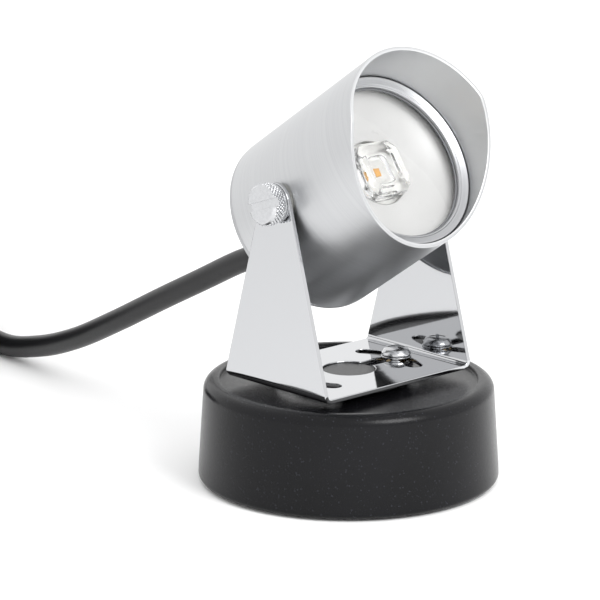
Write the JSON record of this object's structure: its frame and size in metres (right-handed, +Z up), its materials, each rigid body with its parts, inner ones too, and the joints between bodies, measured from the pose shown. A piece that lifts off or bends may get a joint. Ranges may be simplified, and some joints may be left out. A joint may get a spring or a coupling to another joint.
{
  "type": "underwater pond light",
  "caption": "Low-voltage pond spotlight: steel tube head with a slanted visor, tilting in a polished U-bracket on a weighted round base, with a rubber cable and connector.",
  "frame": {"origin": "centre of the round base on the ground plane", "axes": "+Z up; the pivot runs along X; the beam leaves towards -Y, tilted up; the cable leaves towards +Y"},
  "size_m": [0.1332, 0.3416, 0.1329],
  "materials": {
    "base_shell": "moulded charcoal black with fine pale specks, satin top",
    "ballast": "raw cast weight, unseen",
    "rubber_foot": "moulded matt rubber",
    "brass_insert": "turned",
    "turned_steel": "turned stainless steel, bright",
    "bracket_steel": "mirror polished stainless sheet",
    "nylon": "natural white nylon",
    "housing_steel": "stainless tube, fine brushing around the tube",
    "ring_steel": "turned stainless steel",
    "seal_rubber": "moulded seal",
    "front_glass": "clear flat tempered glass",
    "reflector": "white moulded dish",
    "lens": "clear moulded optic",
    "phosphor": "yellow phosphor over the die",
    "led_board": "white solder mask on an aluminium core",
    "heat_sink": "turned, plain",
    "driver_board": "green solder mask",
    "post_brass": "turned",
    "ferrite": "dark grey ferrite",
    "capacitor_can": "drawn can",
    "lead_red": "insulated wire",
    "lead_black": "insulated wire",
    "gland_plastic": "moulded black nylon",
    "cable_rubber": "black rubber sheath, smooth and slightly dull",
    "tie_fabric": "woven hook and loop strap",
    "plug_plastic": "moulded black nylon",
    "pin_copper": "tinned copper alloy"
  },
  "bodies": {
    "base": {"base_shell": "base_shell", "base_ballast": "ballast", "base_cover": "base_shell", "base_foot_1": "rubber_foot", "base_foot_2": "rubber_foot", "base_foot_3": "rubber_foot", "base_foot_4": "rubber_foot", "threaded_insert": "brass_insert"},
    "clamp_washer": {"clamp_washer": "turned_steel"},
    "clamp_screw": {"clamp_screw": "turned_steel"},
    "bracket": {"bracket": "bracket_steel", "cable_run": "cable_rubber", "cable_coil": "cable_rubber", "cable_tail": "cable_rubber", "coil_tie": "tie_fabric", "plug_boot": "cable_rubber", "plug_body": "plug_plastic", "plug_collar": "plug_plastic", "plug_seal": "seal_rubber", "plug_pin_1": "pin_copper", "plug_pin_2": "pin_copper"},
    "head": {"housing_tube": "housing_steel", "retaining_ring": "ring_steel", "front_glass": "front_glass", "rear_cap": "housing_steel", "gland_body": "gland_plastic", "gland_nut": "gland_plastic", "cable_boot": "cable_rubber", "spacer_left": "nylon", "spacer_right": "nylon", "glass_seal": "seal_rubber", "reflector_dish": "reflector", "led_lens": "lens", "led_emitter": "phosphor", "led_board": "led_board", "board_screw_left": "turned_steel", "board_screw_right": "turned_steel", "heat_sink": "heat_sink", "driver_board": "driver_board", "driver_post_1": "post_brass", "driver_post_2": "post_brass", "driver_coil": "ferrite", "driver_capacitor": "capacitor_can", "lead_positive": "lead_red", "lead_negative": "lead_black", "rear_seal": "seal_rubber", "gland_lock_nut": "gland_plastic", "gland_seal": "seal_rubber", "pivot_nut_left": "turned_steel", "pivot_nut_right": "turned_steel"},
    "washer_left": {"thumb_washer_left": "turned_steel"},
    "knob_left": {"thumb_screw_left": "turned_steel"},
    "washer_right": {"thumb_washer_right": "turned_steel"},
    "knob_right": {"thumb_screw_right": "turned_steel"}
  },
  "joints": [
    {"name": "bracket_pan", "type": "hinge", "parent": "base", "child": "bracket", "pos_m": [0, 0, 0.0337], "axis": [0, 0, 1], "range_deg": [-28, 28]},
    {"name": "head_tilt", "type": "hinge", "parent": "bracket", "child": "head", "pos_m": [0, 0, 0.0888], "axis": [-1, 0, 0], "range_deg": [-45, 25], "deforming": ["cable_run"]},
    {"name": "clamp_screw_travel", "type": "slide", "parent": "base", "child": "clamp_washer", "axis": [0, 0, 1], "range_m": [0, 0.0021]},
    {"name": "clamp_screw_turn", "type": "hinge", "parent": "clamp_washer", "child": "clamp_screw", "pos_m": [0.0198, 0, 0.0345], "axis": [0, 0, 1], "range_deg": [0, 1085]},
    {"name": "thumb_screw_left_travel", "type": "slide", "parent": "head", "child": "washer_left", "axis": [-1, 0, 0], "range_m": [0, 0.0021]},
    {"name": "thumb_screw_left_turn", "type": "hinge", "parent": "washer_left", "child": "knob_left", "pos_m": [-0.0307, 0, 0.0888], "axis": [-1, 0, 0], "range_deg": [0, 1085]},
    {"name": "thumb_screw_right_travel", "type": "slide", "parent": "head", "child": "washer_right", "axis": [1, 0, 0], "range_m": [0, 0.0021]},
    {"name": "thumb_screw_right_turn", "type": "hinge", "parent": "washer_right", "child": "knob_right", "pos_m": [0.0307, 0, 0.0888], "axis": [1, 0, 0], "range_deg": [0, 1085]}
  ],
  "couplings": [
    {"joint": "clamp_screw_turn", "follows": "clamp_screw_travel", "rad_per_m": 8976},
    {"joint": "thumb_screw_left_turn", "follows": "thumb_screw_left_travel", "rad_per_m": 8976},
    {"joint": "thumb_screw_right_turn", "follows": "thumb_screw_right_travel", "rad_per_m": 8976}
  ]
}
